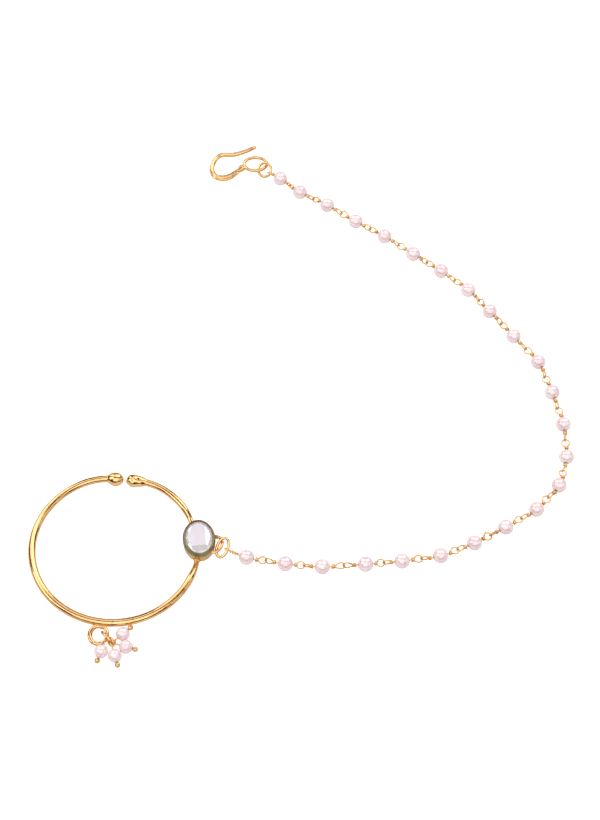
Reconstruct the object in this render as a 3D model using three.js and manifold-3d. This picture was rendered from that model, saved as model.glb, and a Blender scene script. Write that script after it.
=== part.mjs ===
// A nath, a large gold nose ring, lying flat as it is put down: an open hoop with a knob at each end,
// an oval cup setting with a cut glass stone, four pearl drops, and a chain of drilled pearls on
// wrapped wire links that ends in a hook for the hair.
// Millimetres. +Z is up, the surface is z = 0, and the origin is the centre of the setting's flat back.
import * as THREE from 'three';
import { mergeVertices } from 'three/addons/utils/BufferGeometryUtils.js';
import Module from 'manifold-3d';

const wasm = await Module();
wasm.setup();

// Hoop
const hoopRadius = 16.75;
const hoopWire = 1.6;
const hoopEndWire = 1.42;
const leftKnobDiameter = 2.9;
const rightKnobDiameter = 2.65;
const leftKnobNeck = 1.6;
const rightKnobNeck = 3.1;
const knobGap = 0.55;
const gapAngle = 87.4;
const endDrawIn = 0.8;
const endDrawLength = 9;
// The wire is filed thinner and bent down to where it is soldered to the foot of the cup.
const seatWire = 1.1;
const seatHeight = 0.57;
const seatReach = 4.3;
const seatEase = 5;

// Setting and stone
const settingAngle = 9.2;
const settingOffset = 0.35;
const settingLength = 8.55;
const settingWidth = 6.7;
const settingHeight = 2.9;
const settingTaper = 0.12;
const bezelDepth = 0.75;
const bezelLean = 0.3;
const settingWall = 0.28;
const settingFloor = 0.45;
const stoneClearance = 0.08;
const stoneRise = 0.1;
const stoneEdgeDrop = 0.3;
const stoneCrown = 0.6;

// Side loop on the setting and the ring that joins the chain to it
const ringWire = 0.62;
const sideLoopSeat = -19;
const sideLoopLength = 4.4;
const sideLoopReach = 1.66;
const sideLoopHeight = 1.5;
const chainRingLength = 2.9;
const chainRingWidth = 4.7;
const chainRingLean = 33;

// Chain
const pearlDiameter = 3.2;
const linkWire = 0.36;
const coilDiameter = 1.04;
const boreClearance = 0.15;
const pearlGap = 0.14;
const loopWidth = 1.95;
const collarShare = 0.35;
const loopShare = 0.38;
const contactDepth = 0.07;
const footDepth = 0.05;
const footSpread = 0.52;
const loopLean = 12;
const loopLeanTurn = 137.5;

// Drops
const dropAngle = -94.9;
const dropRingLength = 4.8;
const dropRingWidth = 4.4;
const dropRingWire = 0.95;
const dropRingLean = 4;
const solderDepth = 0.45;
const dropJumpLength = 3.6;
const dropJumpWidth = 2.85;
const dropJumpWire = 0.55;
const dropJumpSeat = -10;
const dropJumpLean = 75;
const dropJumpHeading = -46;
const dropPearlDiameter = 2.8;
const dropPearlSpacing = 0.1;
const dropFanStep = 61.5;
const dropFanStart = 47.5;
const pinWire = 0.34;
const pinEyeClearance = 0.17;
const pinBall = 1.16;
const pinStationStep = 40;
const pinFirstStation = -40;

// Hook
const hookReach = 9.9;
const hookHalfWidth = 3.5;
const hookWire = 1.08;
const hookTipBall = 1;
const hookTurnHeight = 0.6;
const hookEyeLength = 5.8;
const hookEyeWidth = 4.4;
const hookEyeWire = 0.66;
const hookHeading = 185.2;
const hookRingDiameter = 3.7;
const hookRingWire = 0.6;
const hookRingLean = 40;
const hookRingOffset = 0.45;

// Room left between pieces that pass through or around each other
const clearance = 0.1;

// Facets
const wireSides = 5;
const loopSteps = 7;
const ringSides = 6;
const ringSteps = 12;
const hoopSides = 10;
const hookSides = 8;
const hookSteps = 16;
const hookEyeSteps = 14;
const pinEyeSteps = 10;
const ballSides = 8;
const ballRows = 5;
const pearlSides = 10;
const pearlRows = 5;
const settingSides = 20;
const stoneSides = 16;

// Route of the chain: where the centre of each pearl lies on the surface, from the setting to the hook.
const pearlRoute = [
  [9.8, -3.5], [17.7, -4.6], [25.2, -4.9], [33.9, -3.9], [41.3, -2.8], [49.1, -1.2],
  [56, 2.1], [62.4, 6.1], [68.8, 10.6], [73.6, 16.6], [75.3, 23.5], [74.9, 31.5],
  [72.7, 39.4], [69.9, 47], [64.7, 53.4], [59.6, 59.7], [55, 65.1], [49, 69.9],
  [42.8, 74.2], [36.4, 78.7], [29.9, 82.5], [23.4, 86.7], [17.2, 90], [12.6, 93.6],
];
const hookEyeCentre = [6.8, 97.65];

// Centreline of the hook from its tip to its neck: shares of hookReach along it and of hookHalfWidth
// across it, and the thickness of the wire there as a share of hookWire.
const hookStations = [
  { along: 0.01, across: 1.37, thick: 0.78 },
  { along: 0.2, across: 1.12, thick: 0.86 },
  { along: 0.48, across: 0.91, thick: 0.98 },
  { along: 0.72, across: 0.96, thick: 1 },
  { along: 0.86, across: 0.79, thick: 1 },
  { along: 0.97, across: 0.27, thick: 1 },
  { along: 1, across: -0.27, thick: 1.06 },
  { along: 0.93, across: -0.74, thick: 1.2 },
  { along: 0.76, across: -0.96, thick: 1.4 },
  { along: 0.59, across: -0.86, thick: 1.38 },
  { along: 0.42, across: -0.52, thick: 1.15 },
  { along: 0.29, across: -0.3, thick: 0.92 },
  { along: 0.235, across: -0.27, thick: 0.66 },
];

const gold = new THREE.MeshStandardMaterial({ color: 0xd99a45, roughness: 0.25, metalness: 1 });
const pearl = new THREE.MeshStandardMaterial({ color: 0xf3e3e2, roughness: 0.3, metalness: 0 });
const glass = new THREE.MeshStandardMaterial({ color: 0xeee6f4, roughness: 0.08, metalness: 0 });

const up = new THREE.Vector3(0, 0, 1);
const radians = THREE.MathUtils.degToRad;
const at = (x, y, z = 0) => new THREE.Vector3(x, y, z);
const polar = (radius, degrees) => at(radius, 0).applyAxisAngle(up, radians(degrees));
const toward = (from, to) => to.clone().sub(from).normalize();
const along = (start, direction, distance) => start.clone().addScaledVector(direction, distance);

// A horizontal direction turned a quarter to its left, leaning up by an angle from level.
function leaning(direction, degrees) {
  const level = at(-direction.y, direction.x).normalize();
  return level.multiplyScalar(Math.cos(radians(degrees))).addScaledVector(up, Math.sin(radians(degrees)));
}

const group = new THREE.Group();

function addPiece(name, geometry, material) {
  const mesh = new THREE.Mesh(geometry, material);
  mesh.name = name;
  group.add(mesh);
  return mesh;
}

function geometryFrom(positions, index) {
  const geometry = new THREE.BufferGeometry();
  geometry.setAttribute('position', new THREE.Float32BufferAttribute(positions, 3));
  geometry.setIndex(index);
  return geometry;
}

function toSolid(geometry) {
  const bare = geometry.clone();
  bare.deleteAttribute('normal');
  bare.deleteAttribute('uv');
  const merged = mergeVertices(bare, 1e-5);
  const vertProperties = Float32Array.from(merged.attributes.position.array);
  const triVerts = Uint32Array.from(merged.index.array);
  return new wasm.Manifold(new wasm.Mesh({ numProp: 3, vertProperties, triVerts }));
}

function toGeometry(solid) {
  const { vertProperties, triVerts } = solid.getMesh();
  return geometryFrom(vertProperties, Array.from(triVerts));
}

const join = (solids) => solids.reduce((whole, solid) => whole.add(solid));

// A round wire along a path. The path keeps clear of the direction given as its upright.
function wire(path, radiusAt, sides, upright = up, closed = false) {
  const positions = [];
  const index = [];
  const count = path.length;
  path.forEach((point, i) => {
    const before = closed ? path[(i + count - 1) % count] : path[Math.max(i - 1, 0)];
    const after = closed ? path[(i + 1) % count] : path[Math.min(i + 1, count - 1)];
    const tangent = toward(before, after);
    const lift = upright.clone().addScaledVector(tangent, -upright.dot(tangent)).normalize();
    const aside = new THREE.Vector3().crossVectors(lift, tangent);
    const radius = radiusAt(i);
    for (let side = 0; side < sides; side += 1) {
      const turn = (2 * Math.PI * side) / sides;
      const rim = along(along(point, aside, radius * Math.cos(turn)), lift, radius * Math.sin(turn));
      positions.push(rim.x, rim.y, rim.z);
    }
  });
  const spans = closed ? count : count - 1;
  for (let i = 0; i < spans; i += 1) {
    const ring = i * sides;
    const next = ((i + 1) % count) * sides;
    for (let side = 0; side < sides; side += 1) {
      const beside = (side + 1) % sides;
      index.push(ring + side, ring + beside, next + side);
      index.push(ring + beside, next + beside, next + side);
    }
  }
  if (!closed) {
    const last = (count - 1) * sides;
    for (let side = 1; side < sides - 1; side += 1) {
      index.push(0, side + 1, side);
      index.push(last, last + side, last + side + 1);
    }
  }
  return toSolid(geometryFrom(positions, index));
}

// An oval ring of wire: its half axes run along two directions at right angles.
function ovalRing(centre, firstAxis, secondAxis, firstHalf, secondHalf, thickness, steps, sides) {
  const path = Array.from({ length: steps }, (_, i) => {
    const turn = (2 * Math.PI * i) / steps;
    const firstStep = along(centre, firstAxis, firstHalf * Math.cos(turn));
    return along(firstStep, secondAxis, secondHalf * Math.sin(turn));
  });
  const upright = new THREE.Vector3().crossVectors(firstAxis, secondAxis);
  return wire(path, () => thickness / 2, sides, upright, true);
}

// A solid lofted through level ovals, each with half axes, a height and flat ends.
function ovalLoft(levels, sides) {
  const positions = [];
  const index = [];
  levels.forEach(({ halfLength, halfWidth, height }) => {
    for (let side = 0; side < sides; side += 1) {
      const turn = (2 * Math.PI * side) / sides;
      positions.push(halfWidth * Math.cos(turn), halfLength * Math.sin(turn), height);
    }
  });
  for (let level = 0; level < levels.length - 1; level += 1) {
    for (let side = 0; side < sides; side += 1) {
      const low = level * sides + side;
      const beside = level * sides + ((side + 1) % sides);
      index.push(low, beside, low + sides);
      index.push(beside, beside + sides, low + sides);
    }
  }
  const top = (levels.length - 1) * sides;
  for (let side = 1; side < sides - 1; side += 1) {
    index.push(0, side + 1, side);
    index.push(top, top + side, top + side + 1);
  }
  return geometryFrom(positions, index);
}

// A bead as a lathe round its bore, along Y.
function drilledBead(diameter, bore, sides, steps) {
  const radius = diameter / 2;
  const mouth = Math.asin(bore / diameter);
  const profile = [];
  for (let i = 0; i <= steps; i += 1) {
    const polarAngle = mouth + ((Math.PI - 2 * mouth) * i) / steps;
    profile.push(new THREE.Vector2(radius * Math.sin(polarAngle), -radius * Math.cos(polarAngle)));
  }
  profile.push(profile[0].clone());
  return new THREE.LatheGeometry(profile, sides);
}

function placeBead(name, geometry, centre, axis) {
  const mesh = addPiece(name, geometry, pearl);
  mesh.position.copy(centre);
  mesh.quaternion.setFromUnitVectors(at(0, 1, 0), axis);
}

// Hoop: one wire bent round, thicker at the bottom, with a pear-shaped knob at each end.
const hoopHeight = Math.max(leftKnobDiameter, rightKnobDiameter) / 2;
const hoopCentre = polar(-(hoopRadius + settingOffset), settingAngle).setZ(hoopHeight);

function hoopWireRadius(fromEnd, knobRadius, neck, share) {
  const wireRadius = THREE.MathUtils.lerp(hoopEndWire, hoopWire, share) / 2;
  if (fromEnd < knobRadius) {
    return Math.sqrt(knobRadius ** 2 - (knobRadius - fromEnd) ** 2);
  }
  const pastBall = Math.min((fromEnd - knobRadius) / neck, 1);
  return THREE.MathUtils.lerp(knobRadius, wireRadius, 0.5 - 0.5 * Math.cos(Math.PI * pastBall));
}

// How far the wire has come down to the cup, from 0 on the open hoop to 1 at the cup.
function seatShare(station) {
  const seatStation = hoopRadius * radians(360 + settingAngle - gapAngle) - knobGap / 2;
  const past = (Math.abs(station - seatStation) - seatReach) / seatEase;
  return 0.5 + 0.5 * Math.cos(Math.PI * THREE.MathUtils.clamp(past, 0, 1));
}

function makeHoop() {
  const length = 2 * Math.PI * hoopRadius - knobGap;
  const knobSteps = [0.04, 0.4, 0.9, 1.5, 2.2, 3.1, 4.4];
  const openSteps = 28;
  const stations = [...knobSteps];
  const firstOpen = knobSteps[knobSteps.length - 1];
  for (let i = 1; i < openSteps; i += 1) {
    stations.push(firstOpen + ((length - 2 * firstOpen) * i) / openSteps);
  }
  stations.push(...knobSteps.map((step) => length - step).reverse());
  const startAngle = gapAngle + THREE.MathUtils.radToDeg(knobGap / 2 / hoopRadius);
  const radii = [];
  const path = stations.map((station) => {
    const fromEnd = Math.min(station, length - station);
    const isLeft = station < length / 2;
    const neck = isLeft ? leftKnobNeck : rightKnobNeck;
    const knobRadius = (isLeft ? leftKnobDiameter : rightKnobDiameter) / 2;
    const seated = seatShare(station);
    const radius = hoopWireRadius(fromEnd, knobRadius, neck, Math.sin((Math.PI * station) / length));
    radii.push(THREE.MathUtils.lerp(radius, seatWire / 2, seated));
    const drawn = Math.max(1 - fromEnd / endDrawLength, 0) ** 2 * endDrawIn;
    const angle = startAngle + THREE.MathUtils.radToDeg(station / hoopRadius);
    const point = polar(hoopRadius - drawn, angle).add(hoopCentre);
    return point.setZ(THREE.MathUtils.lerp(hoopHeight, seatHeight, seated));
  });
  return wire(path, (i) => radii[i], hoopSides);
}

// Setting: an oval cup with a flat back, whose wall is bent inwards at the top to hold the stone.
const bezelFoot = settingHeight - bezelDepth;

function oval(inset, height) {
  return {
    halfLength: settingLength / 2 - inset,
    halfWidth: settingWidth / 2 - inset,
    height,
  };
}

function placeOnSetting(geometry) {
  return geometry.rotateZ(radians(settingAngle));
}

function makeCupSolids() {
  const outside = ovalLoft([
    oval(settingTaper, 0),
    oval(0, bezelFoot),
    oval(bezelLean, settingHeight),
  ], settingSides);
  const inside = ovalLoft([
    oval(settingWall + settingTaper, settingFloor),
    oval(settingWall, bezelFoot),
    oval(settingWall + bezelLean, settingHeight),
    oval(settingWall + bezelLean, 2 * settingHeight),
  ], settingSides);
  return [toSolid(placeOnSetting(outside)), toSolid(placeOnSetting(inside))];
}

// Stone: a flat back, a straight girdle, a row of facets under the bent wall, a bevel and a wide table.
function makeStone() {
  const fit = settingWall + stoneClearance;
  const inscribed = Math.cos(Math.PI / settingSides);
  const trim = (level) => ({
    ...level,
    halfLength: level.halfLength * inscribed,
    halfWidth: level.halfWidth * inscribed,
  });
  const edge = oval(fit + bezelLean * (1 - stoneEdgeDrop / bezelDepth), settingHeight - stoneEdgeDrop);
  return placeOnSetting(ovalLoft([
    trim(oval(fit + settingTaper, settingFloor + stoneClearance)),
    trim(oval(fit, bezelFoot)),
    trim(edge),
    trim(oval(fit + bezelLean + stoneCrown, settingHeight + stoneRise)),
  ], stoneSides));
}

// Side loop: an oval ring of wire let into the setting's side, where the chain hangs.
const seatOval = oval(settingTaper * (1 - sideLoopHeight / bezelFoot), sideLoopHeight);
const sideLoopCentre = at(
  seatOval.halfWidth * Math.cos(radians(sideLoopSeat)),
  seatOval.halfLength * Math.sin(radians(sideLoopSeat)),
  sideLoopHeight,
).applyAxisAngle(up, radians(settingAngle));
const pearlHeight = pearlDiameter / 2;
const pearlCentres = pearlRoute.map(([x, y]) => at(x, y, pearlHeight));
const pull = pearlCentres[0].clone().sub(sideLoopCentre).setZ(0).normalize();
const acrossPull = leaning(pull, 0);
const sideLoop = ovalRing(
  sideLoopCentre,
  pull,
  acrossPull,
  sideLoopReach - ringWire / 2,
  sideLoopLength / 2 - ringWire / 2,
  ringWire,
  ringSteps,
  ringSides,
);

// Chain ring: an oval jump ring through the side loop, leaning so that its wire passes over and under.
const chainRingHalfLength = (chainRingLength - ringWire) / 2;
const chainRingHalfWidth = (chainRingWidth - ringWire) / 2;
const chainRingCentre = along(sideLoopCentre, pull, (sideLoopReach - ringWire) / 2 + chainRingHalfLength);
const chainRing = ovalRing(
  chainRingCentre,
  pull,
  leaning(pull, chainRingLean),
  chainRingHalfLength,
  chainRingHalfWidth,
  ringWire,
  ringSteps,
  ringSides,
);
const chainRingEnd = along(chainRingCentre, pull, chainRingHalfLength);

// Drop ring: soldered under the hoop and leaning down to the surface.
const dropRingHalfLength = (dropRingLength - dropRingWire) / 2;
const dropRingHalfWidth = (dropRingWidth - dropRingWire) / 2;
const dropOut = polar(1, dropAngle);
const dropDown = dropOut.clone().multiplyScalar(Math.cos(radians(dropRingLean)));
dropDown.z = -Math.sin(radians(dropRingLean));
const dropRingCentre = along(
  along(hoopCentre, dropOut, hoopRadius),
  dropDown,
  (dropRingLength + hoopWire) / 2 - solderDepth,
);
const dropRing = ovalRing(
  dropRingCentre,
  leaning(dropOut, 0),
  dropDown,
  dropRingHalfWidth,
  dropRingHalfLength,
  dropRingWire,
  ringSteps,
  ringSides,
);

const [cupOutside, cupInside] = makeCupSolids();
const hoopFrame = join([makeHoop(), cupOutside, sideLoop, dropRing]).subtract(cupInside);
addPiece('hoop_frame', toGeometry(hoopFrame), gold);
addPiece('stone', makeStone(), glass);
addPiece('chain_ring', toGeometry(chainRing), gold);

// Hook eye: an oval of thinner wire, level and raised a little, with the hook's bend on the surface.
const hookRingRadius = (hookRingDiameter - hookRingWire) / 2;
const hookEyeHeight = hookRingRadius * Math.sin(radians(hookRingLean)) + (hookRingWire + clearance) / 2;
const eyeCentre = at(...hookEyeCentre, hookEyeHeight);
const hookAlong = polar(1, hookHeading);
const hookAcross = leaning(hookAlong, 0).negate();
const hookSlope = (hookTurnHeight - hookEyeHeight) / hookReach;
const eyeHalfLength = (hookEyeLength - hookEyeWire) / 2;
const eyeHalfWidth = (hookEyeWidth - hookEyeWire) / 2;

function makeHook() {
  const knots = hookStations.map(({ along: share, across, thick }) => {
    const level = along(eyeCentre, hookAlong, share * hookReach);
    const place = along(level, hookAcross, across * hookHalfWidth);
    place.z += hookSlope * share * hookReach;
    return { place, radius: (thick * hookWire) / 2 };
  });
  const curve = new THREE.CatmullRomCurve3(knots.map(({ place }) => place));
  const path = Array.from({ length: hookSteps + 1 }, (_, i) => curve.getPoint(i / hookSteps));
  const radii = path.map((_, i) => {
    const knot = (i / hookSteps) * (knots.length - 1);
    const low = Math.min(Math.floor(knot), knots.length - 2);
    return THREE.MathUtils.lerp(knots[low].radius, knots[low + 1].radius, knot - low);
  });
  const bend = wire(path, (i) => radii[i], hookSides);
  const eye = ovalRing(
    eyeCentre,
    hookAlong,
    hookAcross,
    eyeHalfLength,
    eyeHalfWidth,
    hookEyeWire,
    hookEyeSteps,
    ringSides,
  );
  const tip = new THREE.SphereGeometry(hookTipBall / 2, ballSides, ballRows);
  tip.translate(...path[0].toArray());
  return join([bend, eye, toSolid(tip)]);
}

addPiece('hook', toGeometry(makeHook()), gold);

// Hook ring: the jump ring between the hook's eye and the chain's last link.
const lastPearl = pearlCentres[pearlCentres.length - 1];
const hookPull = lastPearl.clone().sub(eyeCentre).setZ(0).normalize();
const eyeTurn = Math.atan2(
  hookPull.dot(hookAcross) * eyeHalfLength,
  hookPull.dot(hookAlong) * eyeHalfWidth,
);
const eyeEdge = Math.hypot(eyeHalfLength * Math.cos(eyeTurn), eyeHalfWidth * Math.sin(eyeTurn));
const hookRingCentre = along(eyeCentre, hookPull, eyeEdge + hookRingOffset);
const hookRing = ovalRing(
  hookRingCentre,
  hookPull,
  leaning(hookPull, hookRingLean),
  hookRingRadius,
  hookRingRadius,
  hookRingWire,
  ringSteps,
  ringSides,
);
addPiece('hook_ring', toGeometry(hookRing), gold);
const hookRingEnd = along(hookRingCentre, hookPull, hookRingRadius);

// A teardrop loop of wire whose two feet leave the end of a coil, its plane turned by lean from level.
function teardrop(start, tip, halfWidth, collar, lean) {
  const axis = toward(start, tip);
  const sideways = leaning(axis, 0).applyAxisAngle(axis, radians(lean));
  const bend = start.distanceTo(tip) - halfWidth;
  const foot = collar - footDepth;
  const spread = linkWire * footSpread;
  const rise = Math.atan2(halfWidth - spread, Math.max(bend - foot, linkWire));
  const path = [along(along(start, axis, foot), sideways, spread)];
  for (let i = 0; i <= loopSteps; i += 1) {
    const turn = Math.PI / 2 + rise - ((Math.PI + 2 * rise) * i) / loopSteps;
    const round = along(start, axis, bend + halfWidth * Math.cos(turn));
    path.push(along(round, sideways, halfWidth * Math.sin(turn)));
  }
  path.push(along(along(start, axis, foot), sideways, -spread));
  const upright = new THREE.Vector3().crossVectors(axis, sideways);
  return wire(path, () => linkWire / 2, wireSides, upright);
}

// The straight part of a link: a wrapped collar on each side of the pearl, and the wire in its bore.
function linkCore(ends) {
  const path = [];
  const radii = [];
  ends.forEach(({ pole, target, collar }, endIndex) => {
    const axis = toward(pole, target);
    const points = [pole, pole.clone(), along(pole, axis, collar)];
    const coil = [linkWire / 2, coilDiameter / 2, coilDiameter / 2];
    path.push(...(endIndex ? points : points.reverse()));
    radii.push(...(endIndex ? coil : coil.reverse()));
  });
  return wire(path, (i) => radii[i], wireSides);
}

// Chain: each pearl is threaded on a wire with a wrapped loop at either end, linked loop through loop.
const loopHalfWidth = (loopWidth - linkWire) / 2;
const eyeletHalfWidth = (Math.max(ringWire, hookRingWire) + linkWire) / 2 + clearance;
const overlapReach = (linkWire - contactDepth) / 2;
const loopSway = (i) => loopLean * Math.sin(radians(loopLeanTurn * i));
const chainSolids = [];
const bead = drilledBead(pearlDiameter, linkWire + 2 * boreClearance, pearlSides, pearlRows);
const standOff = pearlHeight + pearlGap;

pearlCentres.forEach((centre, i) => {
  const first = i === 0;
  const last = i === pearlCentres.length - 1;
  const startPoint = first ? chainRingEnd : pearlCentres[i - 1].clone().lerp(centre, 0.5);
  const endPoint = last ? hookRingEnd : centre.clone().lerp(pearlCentres[i + 1], 0.5);
  const axis = toward(startPoint, endPoint);
  const startLean = first ? 90 - chainRingLean : 90 + loopSway(i);
  const endLean = last ? 90 - hookRingLean : loopSway(i);
  const ends = [
    { target: startPoint, pole: along(centre, axis, -standOff), ring: first, lean: startLean },
    { target: endPoint, pole: along(centre, axis, standOff), ring: last, lean: endLean },
  ];
  ends.forEach((end) => {
    const { target, pole, ring, lean } = end;
    const room = pole.distanceTo(target);
    const halfWidth = ring ? eyeletHalfWidth : Math.min(loopHalfWidth, room * loopShare);
    const tip = along(target, toward(pole, target), ring ? halfWidth : overlapReach);
    end.collar = ring ? Math.max(room - halfWidth, linkWire) : room * collarShare;
    chainSolids.push(teardrop(pole, tip, halfWidth, end.collar, lean));
  });
  chainSolids.push(linkCore(ends));
  placeBead(`chain_pearl_${String(i + 1).padStart(2, '0')}`, bead, centre, axis);
});

addPiece('chain_wire', toGeometry(join(chainSolids)), gold);

// Drop jump ring: an oval that stands through the drop ring's side and carries the pins at its far end.
const jumpHalfLength = (dropJumpLength - dropJumpWire) / 2;
const jumpHalfWidth = (dropJumpWidth - dropJumpWire) / 2;
const jumpOut = polar(1, dropJumpHeading);
const jumpUp = leaning(jumpOut.clone().negate(), dropJumpLean);
const jumpSlide = dropJumpLength / 2 - dropJumpWire - dropRingWire - clearance;
const seatTurn = radians(dropJumpSeat);
const dropRingSide = leaning(dropOut, 0);
const dropRingHold = along(
  along(dropRingCentre, dropRingSide, dropRingHalfWidth * Math.cos(seatTurn)),
  dropDown,
  dropRingHalfLength * Math.sin(-seatTurn),
);
const jumpCentre = along(dropRingHold, jumpOut, jumpSlide);
jumpCentre.z = jumpHalfWidth * Math.sin(radians(dropJumpLean)) + (dropJumpWire + clearance) / 2;
addPiece('drop_jump_ring', toGeometry(ovalRing(
  jumpCentre,
  jumpOut,
  jumpUp,
  jumpHalfLength,
  jumpHalfWidth,
  dropJumpWire,
  ringSteps,
  ringSides,
)), gold);

// Drops: a pearl on a ball-ended pin whose other end is turned into an eye round the jump ring.
const dropPearlRadius = dropPearlDiameter / 2;
const fanRadius = (dropPearlDiameter + dropPearlSpacing) / 2 / Math.sin(radians(dropFanStep / 2));
const fanCentre = along(jumpCentre, jumpOut, jumpHalfLength);
const pinEyeRadius = (dropJumpWire + pinWire) / 2 + pinEyeClearance;
const dropBead = drilledBead(dropPearlDiameter, pinWire + 2 * boreClearance, pearlSides, pearlRows);

for (let i = 0; i < 4; i += 1) {
  const station = radians(pinFirstStation + i * pinStationStep);
  const hang = along(
    along(jumpCentre, jumpOut, jumpHalfLength * Math.cos(station)),
    jumpUp,
    jumpHalfWidth * Math.sin(station),
  );
  const tangent = jumpOut.clone().multiplyScalar(-jumpHalfLength * Math.sin(station));
  tangent.addScaledVector(jumpUp, jumpHalfWidth * Math.cos(station));
  const place = polar(fanRadius, dropFanStart - i * dropFanStep).add(fanCentre).setZ(dropPearlRadius);
  const axis = toward(hang, place);
  const acrossEye = new THREE.Vector3().crossVectors(tangent, axis).normalize();
  const eye = ovalRing(
    hang,
    axis,
    acrossEye,
    pinEyeRadius,
    pinEyeRadius,
    pinWire,
    pinEyeSteps,
    wireSides,
  );
  const ballCentre = along(place, axis, dropPearlRadius + pinBall / 2 - clearance / 2);
  const shank = wire([along(hang, axis, pinEyeRadius), ballCentre], () => pinWire / 2, ringSides);
  const ball = new THREE.SphereGeometry(pinBall / 2, ballSides, ballRows);
  ball.translate(...ballCentre.toArray());
  addPiece(`drop_pin_${i + 1}`, toGeometry(join([eye, shank, toSolid(ball)])), gold);
  placeBead(`drop_pearl_${i + 1}`, dropBead, place, axis);
}

export default group;
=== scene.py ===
import math
import bpy
from mathutils import Matrix, Vector, noise


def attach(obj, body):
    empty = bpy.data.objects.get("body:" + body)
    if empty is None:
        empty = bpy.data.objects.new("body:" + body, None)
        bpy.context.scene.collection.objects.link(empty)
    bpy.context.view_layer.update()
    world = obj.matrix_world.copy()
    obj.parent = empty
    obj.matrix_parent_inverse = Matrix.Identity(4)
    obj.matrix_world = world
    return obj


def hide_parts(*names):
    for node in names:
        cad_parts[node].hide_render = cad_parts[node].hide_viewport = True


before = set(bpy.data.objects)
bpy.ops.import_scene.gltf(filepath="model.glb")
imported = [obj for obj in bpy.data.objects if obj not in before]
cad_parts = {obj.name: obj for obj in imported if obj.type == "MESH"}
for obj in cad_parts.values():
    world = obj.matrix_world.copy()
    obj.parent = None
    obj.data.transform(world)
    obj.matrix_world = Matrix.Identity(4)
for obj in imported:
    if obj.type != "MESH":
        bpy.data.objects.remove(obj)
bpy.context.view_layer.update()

# Sizes are in millimetres here, as in the part's drawing, and turned to metres as a mesh is made.
MM = 0.001
UP = Vector((0, 0, 1))
# A thousandth of a millimetre, under which two vertices are the same one.
FINE_CUT = 0.000001


def polar(radius, degrees):
    """A level step of a given length at an angle from +X."""
    turn = math.radians(degrees)
    return Vector((radius * math.cos(turn), radius * math.sin(turn), 0))


def leaning(direction, degrees):
    """A level direction turned a quarter to its left, leaning up by an angle."""
    level = Vector((-direction.y, direction.x, 0)).normalized()
    return level * math.cos(math.radians(degrees)) + UP * math.sin(math.radians(degrees))


def mix(a, b, share):
    return a + (b - a) * share


# Camera
CAMERA_PLACE = Vector((19.32, -214.96, 394.07))
CAMERA_DIP = 57.8
CAMERA_ROLL = 2.5
CAMERA_LENS = 96.585
SENSOR_HEIGHT = 36


def make_camera():
    """The camera over the jewel's front, looking down at it."""
    camera_data = bpy.data.cameras.new("camera")
    camera = bpy.data.objects.new("camera", camera_data)
    bpy.context.scene.collection.objects.link(camera)
    camera_data.sensor_fit = "VERTICAL"
    camera_data.sensor_height = SENSOR_HEIGHT
    camera_data.lens = CAMERA_LENS
    camera_data.clip_start = 0.02
    camera_data.clip_end = 20
    camera.matrix_world = (
        Matrix.Translation(CAMERA_PLACE * MM)
        @ Matrix.Rotation(math.radians(90 - CAMERA_DIP), 4, "X")
        @ Matrix.Rotation(math.radians(CAMERA_ROLL), 4, "Z")
    )
    bpy.context.scene.camera = camera


make_camera()


# Node groups and materials
def new_group(name, inputs, outputs):
    group = bpy.data.node_groups.new(name, "ShaderNodeTree")
    for label, value in inputs:
        socket = group.interface.new_socket(label, in_out="INPUT", socket_type="NodeSocketFloat")
        socket.default_value = value
    for label in outputs:
        group.interface.new_socket(label, in_out="OUTPUT", socket_type="NodeSocketFloat")
    return group, group.nodes.new("NodeGroupInput"), group.nodes.new("NodeGroupOutput")


def add_noise(tree, scale, detail=4.0, roughness=0.55):
    node = tree.nodes.new("ShaderNodeTexNoise")
    node.inputs["Scale"].default_value = scale
    node.inputs["Detail"].default_value = detail
    node.inputs["Roughness"].default_value = roughness
    return node


def add_range(tree, source, low, high, to_low, to_high):
    node = tree.nodes.new("ShaderNodeMapRange")
    node.inputs["From Min"].default_value = low
    node.inputs["From Max"].default_value = high
    node.inputs["To Min"].default_value = to_low
    node.inputs["To Max"].default_value = to_high
    tree.links.new(source, node.inputs["Value"])
    return node.outputs["Result"]


def add_math(tree, operation, a, b):
    node = tree.nodes.new("ShaderNodeMath")
    node.operation = operation
    for socket, value in zip(node.inputs, (a, b)):
        if isinstance(value, (int, float)):
            socket.default_value = value
        else:
            tree.links.new(value, socket)
    return node.outputs["Value"]


def make_burnish():
    """Handled metal: broad tone, dark spots of old polish, fine rubs and a soft waviness."""
    group, given, result = new_group(
        "burnished_metal",
        [("Spot Size", 700.0), ("Spot Amount", 0.5), ("Rub Size", 2600.0)],
        ["Tone", "Spots", "Rubs", "Height"],
    )
    links = group.links
    coords = group.nodes.new("ShaderNodeTexCoord")
    broad = add_noise(group, 160, 3)
    spots = add_noise(group, 1, 5, 0.65)
    rubs = add_noise(group, 1, 2)
    for node in (broad, spots, rubs):
        links.new(coords.outputs["Object"], node.inputs["Vector"])
    links.new(given.outputs["Spot Size"], spots.inputs["Scale"])
    links.new(given.outputs["Rub Size"], rubs.inputs["Scale"])
    tone = add_range(group, broad.outputs["Fac"], 0.35, 0.65, 0, 1)
    dark = add_range(group, spots.outputs["Fac"], 0.56, 0.7, 0, 1)
    dark = add_math(group, "MULTIPLY", dark, given.outputs["Spot Amount"])
    rub = add_range(group, rubs.outputs["Fac"], 0.4, 0.62, 0, 1)
    height = add_math(group, "SUBTRACT", add_math(group, "MULTIPLY", tone, 0.6), dark)
    height = add_math(group, "ADD", height, add_math(group, "MULTIPLY", rub, 0.12))
    links.new(tone, result.inputs["Tone"])
    links.new(dark, result.inputs["Spots"])
    links.new(rub, result.inputs["Rubs"])
    links.new(height, result.inputs["Height"])
    return group


burnish = make_burnish()


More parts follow.
